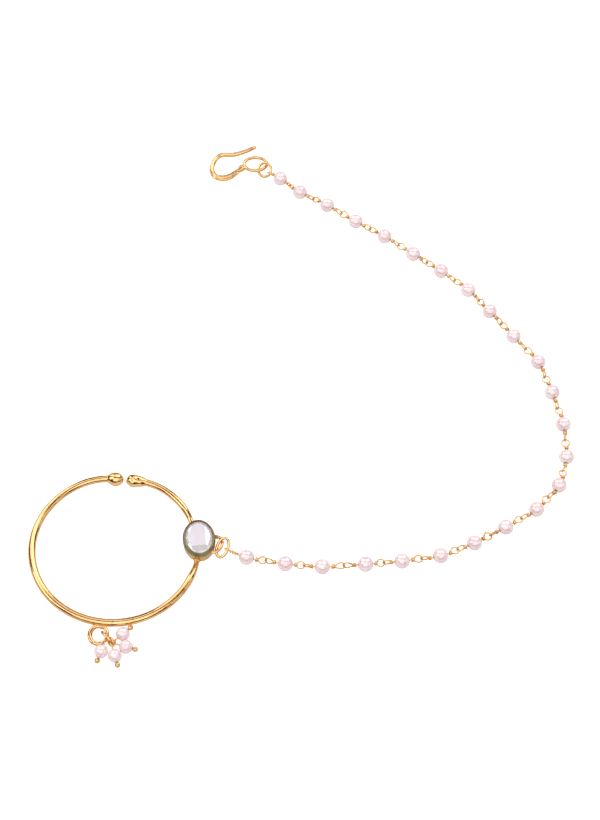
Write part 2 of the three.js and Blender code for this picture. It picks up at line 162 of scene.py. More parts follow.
def principled(material):
    return material.node_tree.nodes["Principled BSDF"]


def new_material(name):
    material = bpy.data.materials.new(name)
    material.use_nodes = True
    return material


def add_mix(tree, share, first, second):
    node = tree.nodes.new("ShaderNodeMix")
    node.data_type = "RGBA"
    tree.links.new(share, node.inputs["Factor"])
    for socket, value in ((node.inputs["A"], first), (node.inputs["B"], second)):
        if isinstance(value, tuple):
            socket.default_value = value + (1,)
        else:
            tree.links.new(value, socket)
    return node.outputs["Result"]


def add_bump(tree, height, strength, distance):
    node = tree.nodes.new("ShaderNodeBump")
    node.inputs["Strength"].default_value = strength
    node.inputs["Distance"].default_value = distance
    tree.links.new(height, node.inputs["Height"])
    return node.outputs["Normal"]


def make_gold(name, light, deep, stain, smooth, rough, spot_size=700):
    """Gilt metal that runs between a light and a deep tone, with stained spots and a varied polish."""
    material = new_material(name)
    tree = material.node_tree
    shader = principled(material)
    shader.inputs["Metallic"].default_value = 1
    wear = tree.nodes.new("ShaderNodeGroup")
    wear.node_tree = burnish
    wear.inputs["Spot Size"].default_value = spot_size
    colour = add_mix(tree, wear.outputs["Tone"], deep, light)
    colour = add_mix(tree, wear.outputs["Spots"], colour, stain)
    tree.links.new(colour, shader.inputs["Base Color"])
    polish = add_math(tree, "ADD", wear.outputs["Rubs"], wear.outputs["Spots"])
    tree.links.new(add_range(tree, polish, 0, 1.5, smooth, rough), shader.inputs["Roughness"])
    tree.links.new(add_bump(tree, wear.outputs["Height"], 0.15, 0.00005), shader.inputs["Normal"])
    return material


# Each gold's light, deep and stain colours, its smoothest and roughest polish, and its spot size.
wire_gold = make_gold(
    "wire_gold", (0.88, 0.58, 0.28), (0.8, 0.47, 0.19), (0.36, 0.16, 0.05), 0.1, 0.24,
)
link_gold = make_gold(
    "link_gold", (0.88, 0.56, 0.25), (0.76, 0.42, 0.15), (0.3, 0.14, 0.04), 0.12, 0.28, 1400,
)
cup_gold = make_gold(
    "cup_gold", (0.7, 0.43, 0.17), (0.6, 0.34, 0.11), (0.25, 0.13, 0.04), 0.2, 0.38, 500,
)
solder_gold = make_gold(
    "solder_gold", (0.78, 0.48, 0.2), (0.45, 0.24, 0.08), (0.16, 0.07, 0.02), 0.2, 0.4, 1500,
)


def make_rim_painted_reflection():
    """The rim round the stone, coloured dark as a painted reflection: olive on the drops' side, brown on
    the side of the gap.
    """
    material = make_gold(
        "rim_painted_reflection", (0.27, 0.25, 0.13), (0.17, 0.19, 0.09), (0.1, 0.06, 0.03), 0.22, 0.4,
    )
    tree = material.node_tree
    shader = principled(material)
    olive = shader.inputs["Base Color"].links[0].from_socket
    coords = tree.nodes.new("ShaderNodeTexCoord")
    split = tree.nodes.new("ShaderNodeSeparateXYZ")
    tree.links.new(coords.outputs["Object"], split.inputs["Vector"])
    # Painted reflection: the rim's dark tone runs from olive at the front to brown at the back.
    share = add_range(tree, split.outputs["Y"], -0.001, 0.0025, 0, 1)
    brown = (0.18, 0.09, 0.045)
    tree.links.new(add_mix(tree, share, olive, brown), shader.inputs["Base Color"])
    return material


rim_painted_reflection = make_rim_painted_reflection()


def make_pearl():
    """Pearl: pink nacre in faint clouds under a clear skin, glossier where it faces the eye."""
    material = new_material("pearl_nacre")
    tree = material.node_tree
    shader = principled(material)
    coords = tree.nodes.new("ShaderNodeTexCoord")
    cloud = add_noise(tree, 520, 4)
    grain = add_noise(tree, 2200, 3)
    tree.links.new(coords.outputs["Object"], cloud.inputs["Vector"])
    tree.links.new(coords.outputs["Object"], grain.inputs["Vector"])
    share = add_range(tree, cloud.outputs["Fac"], 0.35, 0.65, 0, 1)
    deep_pink = (0.88, 0.65, 0.7)
    pale_pink = (0.95, 0.81, 0.82)
    tree.links.new(add_mix(tree, share, deep_pink, pale_pink), shader.inputs["Base Color"])
    lustre = add_range(tree, grain.outputs["Fac"], 0.35, 0.7, 0.16, 0.28)
    tree.links.new(lustre, shader.inputs["Roughness"])
    shader.inputs["Subsurface Weight"].default_value = 0.2
    shader.inputs["Subsurface Radius"].default_value = (0.0011, 0.0008, 0.0007)
    shader.inputs["Subsurface Scale"].default_value = 0.6
    turning = tree.nodes.new("ShaderNodeLayerWeight")
    turning.inputs["Blend"].default_value = 0.5
    gloss = add_range(tree, turning.outputs["Facing"], 0.3, 0.75, 1, 0.06)
    tree.links.new(gloss, shader.inputs["Coat Weight"])
    shader.inputs["Coat Roughness"].default_value = 0.05
    shader.inputs["Coat IOR"].default_value = 2.3
    tree.links.new(add_bump(tree, grain.outputs["Fac"], 0.08, 0.00003), shader.inputs["Normal"])
    return material


pearl_nacre = make_pearl()


LAVENDER = (0.92, 0.88, 0.96)
NEAR_WHITE = (0.98, 0.97, 0.99)
FOIL_GREY = (0.92, 0.9, 0.96)


def make_glass():
    """Cut glass on foil, with a faint lavender tone and a slight haze."""
    material = new_material("cut_glass")
    tree = material.node_tree
    shader = principled(material)
    coords = tree.nodes.new("ShaderNodeTexCoord")
    haze = add_noise(tree, 500, 3)
    tree.links.new(coords.outputs["Object"], haze.inputs["Vector"])
    share = add_range(tree, haze.outputs["Fac"], 0.35, 0.65, 0, 1)
    tree.links.new(add_mix(tree, share, LAVENDER, NEAR_WHITE), shader.inputs["Base Color"])
    polish = add_range(tree, haze.outputs["Fac"], 0.3, 0.7, 0.01, 0.05)
    tree.links.new(polish, shader.inputs["Roughness"])
    shader.inputs["Transmission Weight"].default_value = 0.35
    shader.inputs["IOR"].default_value = 1.55
    shader.inputs["Coat Weight"].default_value = 1
    shader.inputs["Coat IOR"].default_value = 2.4
    shader.inputs["Coat Roughness"].default_value = 0.01
    return material


def make_foil():
    """Bright foil that lines the cup under the stone."""
    material = new_material("stone_foil")
    tree = material.node_tree
    shader = principled(material)
    shader.inputs["Metallic"].default_value = 1
    wear = tree.nodes.new("ShaderNodeGroup")
    wear.node_tree = burnish
    wear.inputs["Spot Amount"].default_value = 0.2
    tone = add_mix(tree, wear.outputs["Tone"], FOIL_GREY, NEAR_WHITE)
    tree.links.new(tone, shader.inputs["Base Color"])
    tree.links.new(add_range(tree, wear.outputs["Rubs"], 0, 1, 0.05, 0.14), shader.inputs["Roughness"])
    return material


cut_glass = make_glass()
stone_foil = make_foil()


# Modelling helpers
def deselect():
    if bpy.context.mode != "OBJECT":
        bpy.ops.object.mode_set(mode="OBJECT")
    bpy.ops.object.select_all(action="DESELECT")


def pick(obj):
    """Selects one piece alone and makes it the active one."""
    deselect()
    obj.select_set(True)
    bpy.context.view_layer.objects.active = obj


def finish_piece(obj, name, materials, nodes, smooth=40):
    """Applies the piece's place, shades it, and ties it to the jewel."""
    pick(obj)
    bpy.ops.object.transform_apply(location=True, rotation=True, scale=True)
    bpy.ops.object.shade_smooth_by_angle(angle=math.radians(smooth))
    obj.name = name
    obj.data.name = name
    obj.data.materials.clear()
    for material in materials:
        obj.data.materials.append(material)
    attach(obj, "root")
    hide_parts(*nodes)
    return obj


def smooth_route(points, per_span):
    """More points along a route, on the smooth curve through the given ones."""
    dense = []
    for i in range(len(points) - 1):
        before = points[max(i - 1, 0)]
        start = points[i]
        end = points[i + 1]
        after = points[min(i + 2, len(points) - 1)]
        for step in range(per_span):
            t = step / per_span
            dense.append(
                0.5
                * (
                    2 * start
                    + (end - before) * t
                    + (2 * before - 5 * start + 4 * end - after) * t**2
                    + (3 * start - before - 3 * end + after) * t**3
                )
            )
    dense.append(points[-1].copy())
    return dense


def draw_wire(points, radii, around):
    """A round wire along points, as a mesh. radii is one number or one for each point."""
    deselect()
    bpy.ops.curve.primitive_nurbs_path_add()
    curve = bpy.context.object
    data = curve.data
    data.splines.clear()
    spline = data.splines.new("POLY")
    spline.points.add(len(points) - 1)
    for i, point in enumerate(points):
        radius = radii if isinstance(radii, (int, float)) else radii[i]
        spline.points[i].co = (*(point * MM), 1)
        spline.points[i].radius = radius * MM
    data.dimensions = "3D"
    data.bevel_depth = 1
    data.bevel_resolution = around
    data.use_fill_caps = True
    pick(curve)
    bpy.ops.object.convert(target="MESH")
    wire = bpy.context.object
    bpy.ops.object.mode_set(mode="EDIT")
    bpy.ops.mesh.select_all(action="SELECT")
    bpy.ops.mesh.remove_doubles(threshold=0.000002)
    bpy.ops.mesh.normals_make_consistent(inside=False)
    bpy.ops.object.mode_set(mode="OBJECT")
    return wire


def join_pieces(objects):
    """Joins pieces into the first of them."""
    deselect()
    for obj in objects:
        obj.select_set(True)
    bpy.context.view_layer.objects.active = objects[0]
    bpy.ops.object.join()
    return bpy.context.object


def dent(obj, centre, radius, depth, direction):
    """Pushes the surface in or out round a point, fading to nothing at the radius."""
    for vertex in obj.data.vertices:
        away = (vertex.co - centre * MM).length / (radius * MM)
        if away < 1:
            vertex.co += direction * (depth * MM) * (1 - away * away) ** 2


def blob(centre, size, direction, lumps, seed):
    """A drop of solder or a wire's ball: a small sphere, stretched, then pushed about by noise."""
    deselect()
    bpy.ops.mesh.primitive_ico_sphere_add(subdivisions=4, radius=MM, location=(0, 0, 0))
    obj = bpy.context.object
    turn = Vector((1, 0, 0)).rotation_difference(direction.normalized()).to_matrix()
    for vertex in obj.data.vertices:
        unit = vertex.co / MM
        swell = 1 + lumps * noise.noise(unit * 1.7 + Vector((seed, 0, 0)))
        local = Vector((unit.x * size[0], unit.y * size[1], unit.z * size[2])) * swell
        vertex.co = (turn @ local + centre) * MM
    return obj


def oval_points(centre, first, second, first_half, second_half, start, sweep, count):
    """Points along an oval arc, the angles in degrees."""
    points = []
    for i in range(count + 1):
        turn = math.radians(start + sweep * i / count)
        points.append(centre + first * first_half * math.cos(turn) + second * second_half * math.sin(turn))
    return points


# Hoop
# Sizes in millimetres, angles in degrees. A knob is its width, its length to the widest place from the
# tip, and its length from there to the wire.
CUP_LENGTH = 8.55
CUP_WIDTH = 6.7
CUP_TAPER = 0.12
CUP_FLOOR = 0.45
BEZEL_FOOT = 2.15
HOOP_RADIUS = 16.75
HOOP_WIRE = 1.6
HOOP_END_WIRE = 1.42
LEFT_KNOB = (2.9, 1.6, 1.9)
RIGHT_KNOB = (2.65, 1.4, 3.2)
KNOB_GAP = 0.55
GAP_ANGLE = 87.4
END_DRAW_IN = 0.8
END_DRAW_LENGTH = 9
SEAT_WIRE = 1.1
SEAT_HEIGHT = 0.57
SEAT_REACH = 4.3
SEAT_EASE = 5
SETTING_ANGLE = 9.2
SETTING_OFFSET = 0.35
HOOP_CENTRE = polar(-(HOOP_RADIUS + SETTING_OFFSET), SETTING_ANGLE) + UP * (LEFT_KNOB[0] / 2)
HOOP_LENGTH = 2 * math.pi * HOOP_RADIUS - KNOB_GAP


def hoop_wire_radius(from_end, knob, share):
    """The wire's radius at a length from its end, where an egg-shaped knob runs into it."""
    width, front, back = knob
    wire = mix(HOOP_END_WIRE, HOOP_WIRE, share) / 2
    past = (from_end - front) / (front if from_end < front else back)
    swell = width / 2 * math.sqrt(max(1 - past**2, 0))
    if from_end < front:
        return swell
    return (swell**5 + wire**5) ** 0.2 if swell > 0 else wire


def seat_share(station):
    """How far the wire has come down to the foot of the cup."""
    seat = HOOP_RADIUS * math.radians(360 + SETTING_ANGLE - GAP_ANGLE) - KNOB_GAP / 2
    past = (abs(station - seat) - SEAT_REACH) / SEAT_EASE
    return 0.5 + 0.5 * math.cos(math.pi * min(max(past, 0), 1))


def hoop_point(station):
    """The place on the hoop's centreline at a length from its left end."""
    from_end = min(station, HOOP_LENGTH - station)
    drawn = max(1 - from_end / END_DRAW_LENGTH, 0) ** 2 * END_DRAW_IN
    angle = GAP_ANGLE + math.degrees((KNOB_GAP / 2 + station) / HOOP_RADIUS)
    point = polar(HOOP_RADIUS - drawn, angle) + HOOP_CENTRE
    point.z = mix(HOOP_CENTRE.z, SEAT_HEIGHT, seat_share(station))
    return point


def cut_with(obj, cutter):
    """Takes the cutter's volume out of a piece, and removes the cutter."""
    pick(obj)
    modifier = obj.modifiers.new("cut", "BOOLEAN")
    modifier.operation = "DIFFERENCE"
    modifier.solver = "EXACT"
    modifier.object = cutter
    bpy.ops.object.modifier_apply(modifier=modifier.name)
    bpy.data.objects.remove(cutter)


NECK_FROM_END = 3
LEFT_BALL = hoop_point(LEFT_KNOB[0] / 2)
RIGHT_BALL = hoop_point(HOOP_LENGTH - RIGHT_KNOB[0] / 2)
RIGHT_NECK = hoop_point(HOOP_LENGTH - NECK_FROM_END)
# Where each end is lumpy: a middle and how far the lumps reach from it.
LUMPY_ENDS = [(LEFT_BALL, 1.5), (RIGHT_BALL, 1.8), (RIGHT_NECK, 1.5)]
LUMP_HEIGHT = 0.07
LUMP_SINK = 0.02
LUMP_EDGE = 1.15
# Each dent's knob, its place from the knob's middle, its radius and its depth.
KNOB_DENTS = [
    (LEFT_BALL, (1.12, -0.65, 0.55), 0.3, 0.2),
    (LEFT_BALL, (0.3, -1.25, 0.6), 0.22, 0.16),
    (LEFT_BALL, (-0.3, -0.25, 1.32), 0.2, 0.1),
    (RIGHT_BALL, (0.2, -0.49, 1.2), 0.32, 0.2),
    (RIGHT_BALL, (2.1, -0.85, 0.6), 0.3, 0.16),
    (RIGHT_BALL, (1.2, -0.1, 1.15), 0.34, 0.12),
    (RIGHT_BALL, (0.5, -1.1, 0.7), 0.22, 0.12),
    (RIGHT_BALL, (1.7, -0.2, 1.05), 0.26, 0.12),
]


def hoop_stations():
    """Lengths along the wire, close together on the knobs and even between them."""
    knob_reach = 5.4
    knob_steps = [0.004 + knob_reach * (i / 54) ** 1.5 for i in range(55)]
    first = knob_steps[-1]
    middle = 200
    stations = list(knob_steps)
    stations += [first + (HOOP_LENGTH - 2 * first) * i / middle for i in range(1, middle)]
    stations += [HOOP_LENGTH - step for step in reversed(knob_steps)]
    return stations


def roughen_ends(hoop):
    """Gives the cast knobs their lumps and dents."""
    for vertex in hoop.data.vertices:
        place = vertex.co / MM
        for ball, reach in LUMPY_ENDS:
            near = (place - ball).length / reach
            if near < LUMP_EDGE:
                fade = min(1, 4 * (LUMP_EDGE - near))
                lump = noise.noise(place * 1.5 + Vector((4.2, 0, 0))) * LUMP_HEIGHT * fade
                vertex.co += (place - ball).normalized() * (lump - LUMP_SINK) * MM
    for knob, offset, size, depth in KNOB_DENTS:
        spot = knob + Vector(offset)
        dent(hoop, spot, size, depth, (knob - spot).normalized())


def make_cavity():
    """The inside of the cup as a cutter, so that the wire stops at the cup's wall."""
    deselect()
    bpy.ops.mesh.primitive_circle_add(
        vertices=64, radius=1, fill_type="NGON", location=(0, 0, CUP_FLOOR * MM),
    )
    cavity = bpy.context.object
    inset = 0.2
    cavity.scale = ((CUP_WIDTH / 2 - inset) * MM, (CUP_LENGTH / 2 - inset) * MM, 1)
    cavity.rotation_euler.z = math.radians(SETTING_ANGLE)
    bpy.ops.object.transform_apply(location=True, rotation=True, scale=True)
    bpy.ops.object.mode_set(mode="EDIT")
    bpy.ops.mesh.select_all(action="SELECT")
    bpy.ops.mesh.extrude_region_move(TRANSFORM_OT_translate={"value": (0, 0, 4 * MM)})
    bpy.ops.mesh.select_all(action="SELECT")
    bpy.ops.mesh.normals_make_consistent(inside=False)
    bpy.ops.object.mode_set(mode="OBJECT")
    return cavity


def make_hoop():
    """The open hoop: round wire that swells to a knob at each end and thins out under the cup."""
    radii = []
    stations = hoop_stations()
    for station in stations:
        from_end = min(station, HOOP_LENGTH - station)
        knob = LEFT_KNOB if station < HOOP_LENGTH / 2 else RIGHT_KNOB
        radius = hoop_wire_radius(from_end, knob, math.sin(math.pi * station / HOOP_LENGTH))
        radii.append(mix(radius, SEAT_WIRE / 2, seat_share(station)))
    hoop = draw_wire([hoop_point(station) for station in stations], radii, 16)
    roughen_ends(hoop)
    cut_with(hoop, make_cavity())
    finish_piece(hoop, "hoop_wire", [wire_gold], ["hoop_frame"], 60)


def make_cup_solder():
    """A collar of solder at each place where the hoop's wire meets the cup."""
    collars = []
    crossing = 14.6
    for turn, seed in ((-crossing, 2.5), (crossing, 6.5)):
        angle = SETTING_ANGLE + turn
        place = HOOP_CENTRE + polar(HOOP_RADIUS, angle)
        place.z = SEAT_HEIGHT + 0.08
        collars.append(blob(place, (0.42, 0.68, 0.56), polar(1, angle + 90), 0.2, seed))
    finish_piece(join_pieces(collars), "cup_solder", [solder_gold], ["hoop_frame"], 60)


make_hoop()
make_cup_solder()

# Setting
# The cup's section from the middle of its foot, up the wall, over the rolled rim and down inside.
# Each place is its inset from the cup's outline and its height.
CUP_SECTION = [
    (0.22, 0), (0.14, 0.03), (0.11, 0.12), (0.07, 0.8), (0.02, 1.7), (0, 2.05), (0.02, 2.2),
    (0.1, 2.42), (0.2, 2.66), (0.27, 2.83), (0.32, 2.89), (0.42, 2.9), (0.52, 2.89), (0.57, 2.84),
    (0.55, 2.72), (0.3, 2.16), (0.31, 1.4), (0.38, 0.6), (0.46, 0.47), (0.6, 0.45),
]
RIM_FOOT = 2.1


def extrude_oval(from_inset, to_inset, rise):
    """Extrudes the selected rim to a new level and resizes it to the new inset."""
    bpy.ops.mesh.extrude_region_move(TRANSFORM_OT_translate={"value": (0, 0, rise * MM)})
    across = (CUP_WIDTH / 2 - to_inset) / (CUP_WIDTH / 2 - from_inset)
    down = (CUP_LENGTH / 2 - to_inset) / (CUP_LENGTH / 2 - from_inset)
    bpy.ops.transform.resize(value=(across, down, 1))


def make_cup():
    """The oval cup, drawn up from its foot along the section: gold outside, foil inside, and a rim darkened
    with a painted reflection.
    """
    deselect()
    bpy.ops.mesh.primitive_circle_add(vertices=96, radius=1, fill_type="NGON", location=(0, 0, 0))
    cup = bpy.context.object
    foot_inset = CUP_SECTION[0][0]
    cup.scale = ((CUP_WIDTH / 2 - foot_inset) * MM, (CUP_LENGTH / 2 - foot_inset) * MM, 1)
    bpy.ops.object.transform_apply(location=False, rotation=False, scale=True)
    bpy.ops.object.mode_set(mode="EDIT")
    bpy.ops.mesh.select_all(action="SELECT")
    for (inset, height), (next_inset, next_height) in zip(CUP_SECTION, CUP_SECTION[1:]):
        extrude_oval(inset, next_inset, next_height - height)
    bpy.ops.mesh.select_all(action="SELECT")
    bpy.ops.mesh.normals_make_consistent(inside=False)
    bpy.ops.object.mode_set(mode="OBJECT")
    cup.rotation_euler.z = math.radians(SETTING_ANGLE)
    finish_piece(cup, "setting_cup", [cup_gold, stone_foil, rim_painted_reflection], ["hoop_frame"], 50)
    for face in cup.data.polygons:
        # Faces above the rim's foot take the rim's painted dark reflection.
        if face.center.z > RIM_FOOT * MM:
            face.material_index = 2
        elif face.center.z > 0.4 * MM and face.normal.z > 0.05:
            face.material_index = 1
        else:
            face.material_index = 0


STONE_INSET = 0.36
STONE_FOOT = 0.53
GIRDLE_HEIGHT = 1.62
STONE_BLANK = 1
EDGE_FACETS = 14
# The broad facets on top, each one a point in it and the way that it faces.
TABLE_FACETS = [
    ((0.5, 0, 3), (0.06, 0, 1)),
    ((0.5, 0, 3), (-0.035, -0.01, 1)),
    ((-0.3, -1.15, 2.97), (-0.02, -0.12, 1)),
    ((-1.6, 0.6, 2.93), (-0.13, 0.03, 1)),
]


def make_stone():
    """A foil-backed stone: an oval block whose top is cut to a few broad facets and a faceted edge."""
    deselect()
    half_width = CUP_WIDTH / 2 - STONE_INSET
    half_length = CUP_LENGTH / 2 - STONE_INSET
    foot = 0.96
    bpy.ops.mesh.primitive_circle_add(vertices=48, radius=1, fill_type="NGON", location=(0, 0, 0))
    stone = bpy.context.object
    stone.scale = (half_width * foot * MM, half_length * foot * MM, 1)
    stone.location.z = STONE_FOOT * MM
    stone.rotation_euler.z = math.radians(SETTING_ANGLE)
    bpy.ops.object.transform_apply(location=True, rotation=True, scale=True)
    bpy.ops.object.mode_set(mode="EDIT")
    for rise, size in ((GIRDLE_HEIGHT, 1.04), (STONE_BLANK, 1)):
        bpy.ops.mesh.extrude_region_move(TRANSFORM_OT_translate={"value": (0, 0, rise * MM)})
        bpy.ops.transform.resize(value=(size, size, 1))
    facets = [(Vector(place), Vector(direction)) for place, direction in TABLE_FACETS]
    setting_turn = Matrix.Rotation(math.radians(SETTING_ANGLE), 3, "Z")
    for i in range(EDGE_FACETS):
        turn = math.radians(360 / EDGE_FACETS * i + 8)
        edge = Vector((half_width * math.cos(turn), half_length * math.sin(turn), 0))
        out = Vector((math.cos(turn) / half_width, math.sin(turn) / half_length, 0)).normalized()
        edge = setting_turn @ (edge - out * 0.62)
        out = setting_turn @ out
        facets.append((edge + UP * 2.8, out * 0.6 + UP))
    for place, direction in facets:
        bpy.ops.mesh.select_all(action="SELECT")
        bpy.ops.mesh.bisect(
            plane_co=place * MM, plane_no=direction.normalized(), use_fill=True, clear_outer=True,
        )
    bpy.ops.mesh.select_all(action="SELECT")
    bpy.ops.mesh.remove_doubles(threshold=FINE_CUT)
    bpy.ops.mesh.normals_make_consistent(inside=False)
    bpy.ops.object.mode_set(mode="OBJECT")
    finish_piece(stone, "cut_stone", [cut_glass], ["stone"], 1)


make_cup()
make_stone()

# Side loop, drop ring and their solder
RING_WIRE = 0.62
LOOP_HEIGHT = 1.5
LOOP_HALVES = (1.35, 1.89)
seat_inset = CUP_TAPER * (1 - LOOP_HEIGHT / BEZEL_FOOT)
LOOP_TURN = -19
seat_turn = math.radians(LOOP_TURN)
seat = Vector((
    (CUP_WIDTH / 2 - seat_inset) * math.cos(seat_turn),
    (CUP_LENGTH / 2 - seat_inset) * math.sin(seat_turn),
    LOOP_HEIGHT,
))
LOOP_CENTRE = Matrix.Rotation(math.radians(SETTING_ANGLE), 3, "Z") @ seat

PEARL = 3.2
PEARL_ROUTE = [
    (9.8, -3.5), (17.7, -4.6), (25.2, -4.9), (33.9, -3.9), (41.3, -2.8), (49.1, -1.2),
    (56, 2.1), (62.4, 6.1), (68.8, 10.6), (73.6, 16.6), (75.3, 23.5), (74.9, 31.5),
    (72.7, 39.4), (69.9, 47), (64.7, 53.4), (59.6, 59.7), (55, 65.1), (49, 69.9),
    (42.8, 74.2), (36.4, 78.7), (29.9, 82.5), (23.4, 86.7), (17.2, 90), (12.6, 93.6),
]
pearl_centres = [Vector((x, y, PEARL / 2)) for x, y in PEARL_ROUTE]

pull = pearl_centres[0] - LOOP_CENTRE
pull.z = 0
pull.normalize()
across_pull = leaning(pull, 0)


def make_side_loop():
    """The half loop on the cup's side that the chain's ring hangs in, and its solder."""
    points = oval_points(LOOP_CENTRE, pull, across_pull, *LOOP_HALVES, -90, 208, 44)
    loop = draw_wire(points, RING_WIRE / 2, 6)
    solder = [
        blob(LOOP_CENTRE + across_pull * 1.72 - pull * 0.5, (0.42, 0.44, 0.4), across_pull, 0.35, 3.1),
        blob(LOOP_CENTRE - across_pull * 1.85 + pull * 0.02, (0.45, 0.46, 0.38), across_pull, 0.35, 5.7),
    ]
    finish_piece(loop, "side_loop", [wire_gold], ["hoop_frame"])
    joint = join_pieces(solder)
    finish_piece(joint, "side_loop_solder", [solder_gold], ["hoop_frame"], 60)


make_side_loop()

DROP_ANGLE = -94.9
DROP_RING_LENGTH = 4.8
DROP_RING_WIDTH = 4.4
DROP_RING_WIRE = 0.95
DROP_RING_LEAN = 4
drop_out = polar(1, DROP_ANGLE)
drop_side = leaning(drop_out, 0)
drop_down = drop_out * math.cos(math.radians(DROP_RING_LEAN)) - UP * math.sin(math.radians(DROP_RING_LEAN))
DROP_RING_SINK = 0.45
drop_ring_reach = (DROP_RING_LENGTH + HOOP_WIRE) / 2 - DROP_RING_SINK
DROP_RING_CENTRE = HOOP_CENTRE + drop_out * HOOP_RADIUS + drop_down * drop_ring_reach
drop_ring_halves = ((DROP_RING_LENGTH - DROP_RING_WIRE) / 2, (DROP_RING_WIDTH - DROP_RING_WIRE) / 2)


def make_drop_ring():
    """The thick ring under the hoop, a little thinner on one side, and its solder."""
    start = 183
    sweep = 354
    steps = 72
    points = oval_points(
        DROP_RING_CENTRE, drop_down, drop_side, *drop_ring_halves, start, sweep, steps,
    )
    thick = []
    for i in range(steps + 1):
        turn = math.radians(start + sweep * i / steps)
        thick.append(DROP_RING_WIRE / 2 * (0.92 - 0.12 * math.sin(turn)))
    ring = draw_wire(points, thick, 7)
    finish_piece(ring, "drop_ring", [wire_gold], ["hoop_frame"])
    joint = HOOP_CENTRE + drop_out * (HOOP_RADIUS + HOOP_WIRE / 2 + 0.1) + drop_side * 0.2
    solder = blob(joint, (1.15, 0.5, 0.45), drop_side, 0.35, 9.4)
    finish_piece(solder, "drop_ring_solder", [solder_gold], ["hoop_frame"], 60)


make_drop_ring()


# Jump rings
RING_SLIT = 5


def make_jump_ring(name, node, centre, axes, halves, thickness, slit_turn, swell=1.0):
    """An oval jump ring of wire with a fine slit where its cut ends meet."""
    start = slit_turn + RING_SLIT / 2
    points = oval_points(centre, *axes, *halves, start, 360 - RING_SLIT, 64)
    ring = draw_wire(points, thickness / 2 * swell, 6)
    finish_piece(ring, name, [wire_gold], [node])


CHAIN_RING_SIZE = (2.9, 4.7)
CHAIN_RING_LEAN = 33
CHAIN_RING_HOLD = 1.66
chain_ring_halves = [(size - RING_WIRE) / 2 for size in CHAIN_RING_SIZE]
chain_ring_centre = LOOP_CENTRE + pull * ((CHAIN_RING_HOLD - RING_WIRE) / 2 + chain_ring_halves[0])
chain_ring_end = chain_ring_centre + pull * chain_ring_halves[0]
make_jump_ring(
    "chain_jump_ring", "chain_ring", chain_ring_centre, (pull, leaning(pull, CHAIN_RING_LEAN)),
    chain_ring_halves, RING_WIRE, 75,
)

# Hook
HOOK_REACH = 9.9
HOOK_HALF_WIDTH = 3.5
HOOK_WIRE = 1.08
HOOK_EYE = (5.8, 4.4)
HOOK_EYE_WIRE = 0.66
HOOK_EYE_SWELL = 1.12
HOOK_RING = 3.7
HOOK_RING_WIRE = 0.6
HOOK_RING_LEAN = 40
HOOK_BALL = (0.5, 0.49, 0.49)
HOOK_TURN_HEIGHT = 0.6
HOOK_STRAND = 0.53
TAIL_STRAND = 0.36
TAIL_FINEST = 0.12
# The bend from the ball tip to the eye: shares of the hook's reach, of its half width and of its wire.
HOOK_STATIONS = [
    (0.01, 1.37, 0.78), (0.2, 1.12, 0.86), (0.48, 0.91, 0.98), (0.72, 0.96, 1), (0.86, 0.79, 1),
    (0.97, 0.27, 1), (1, -0.27, 1.06), (0.93, -0.74, 1.2), (0.76, -0.96, 1.4), (0.59, -0.86, 1.38),
    (0.42, -0.52, 1.15), (0.29, -0.3, 0.92), (0.235, -0.27, 0.66),
]
hook_ring_radius = (HOOK_RING - HOOK_RING_WIRE) / 2
eye_height = hook_ring_radius * math.sin(math.radians(HOOK_RING_LEAN)) + (HOOK_RING_WIRE + 0.1) / 2
EYE_PLACE = (6.8, 97.65)
EYE_CENTRE = Vector((*EYE_PLACE, eye_height))
HOOK_HEADING = 185.2
hook_along = polar(1, HOOK_HEADING)
hook_across = -leaning(hook_along, 0)
hook_slope = (HOOK_TURN_HEIGHT - eye_height) / HOOK_REACH
eye_halves = [(size - HOOK_EYE_WIRE) / 2 for size in HOOK_EYE]


def hook_point(share, across, lift=0.0):
    """A place on the hook's plane, which slopes down from the eye to the bend."""
    point = EYE_CENTRE + hook_along * (share * HOOK_REACH) + hook_across * (across * HOOK_HALF_WIDTH)
    point.z = eye_height + hook_slope * share * HOOK_REACH + lift
    return point


def make_hook_bend():
    """The bend: one strand of wire, with the tail of the wire laid along its outside on the way back."""
    knots = [hook_point(share, across) for share, across, _ in HOOK_STATIONS]
    radii = [thick * HOOK_WIRE / 2 for _, _, thick in HOOK_STATIONS]
    per_span = 14
    points = smooth_route(knots, per_span)
    dense = []
    for i in range(len(points)):
        knot = min(i / per_span, len(radii) - 1.001)
        low = int(knot)
        dense.append(mix(radii[low], radii[low + 1], knot - low))
    middle = hook_point(0.6, 0)
    strand = []
    tail = []
    tail_radii = []
    for i, (point, reach) in enumerate(zip(points, dense)):
        ahead = (points[min(i + 1, len(points) - 1)] - points[max(i - 1, 0)]).normalized()
        outward = ahead.cross(UP).normalized()
        if outward.dot(point - middle) < 0:
            outward = -outward
        radius = min(reach, HOOK_STRAND)
        strand.append((point - outward * (reach - radius), radius))
        spare = reach - HOOK_STRAND - 0.03
        if spare > 0 and i > len(points) / 3:
            thin = max(TAIL_STRAND * min(1, spare / 0.08), TAIL_FINEST)
            tail.append(point + outward * (reach - thin))
            tail_radii.append(thin)
    bend = draw_wire([place for place, _ in strand], [radius for _, radius in strand], 8)
    along_bend = draw_wire(tail, tail_radii, 7)
    bend = join_pieces([bend, along_bend])
    finish_piece(bend, "hook_bend", [wire_gold], ["hook"])


def make_hook_tip():
    """The small ball that the hook's point is melted to."""
    share, across, _ = HOOK_STATIONS[0]
    tip = blob(hook_point(share, across), HOOK_BALL, hook_along, 0.06, 2.2)
    finish_piece(tip, "hook_tip", [wire_gold], ["hook"], 60)


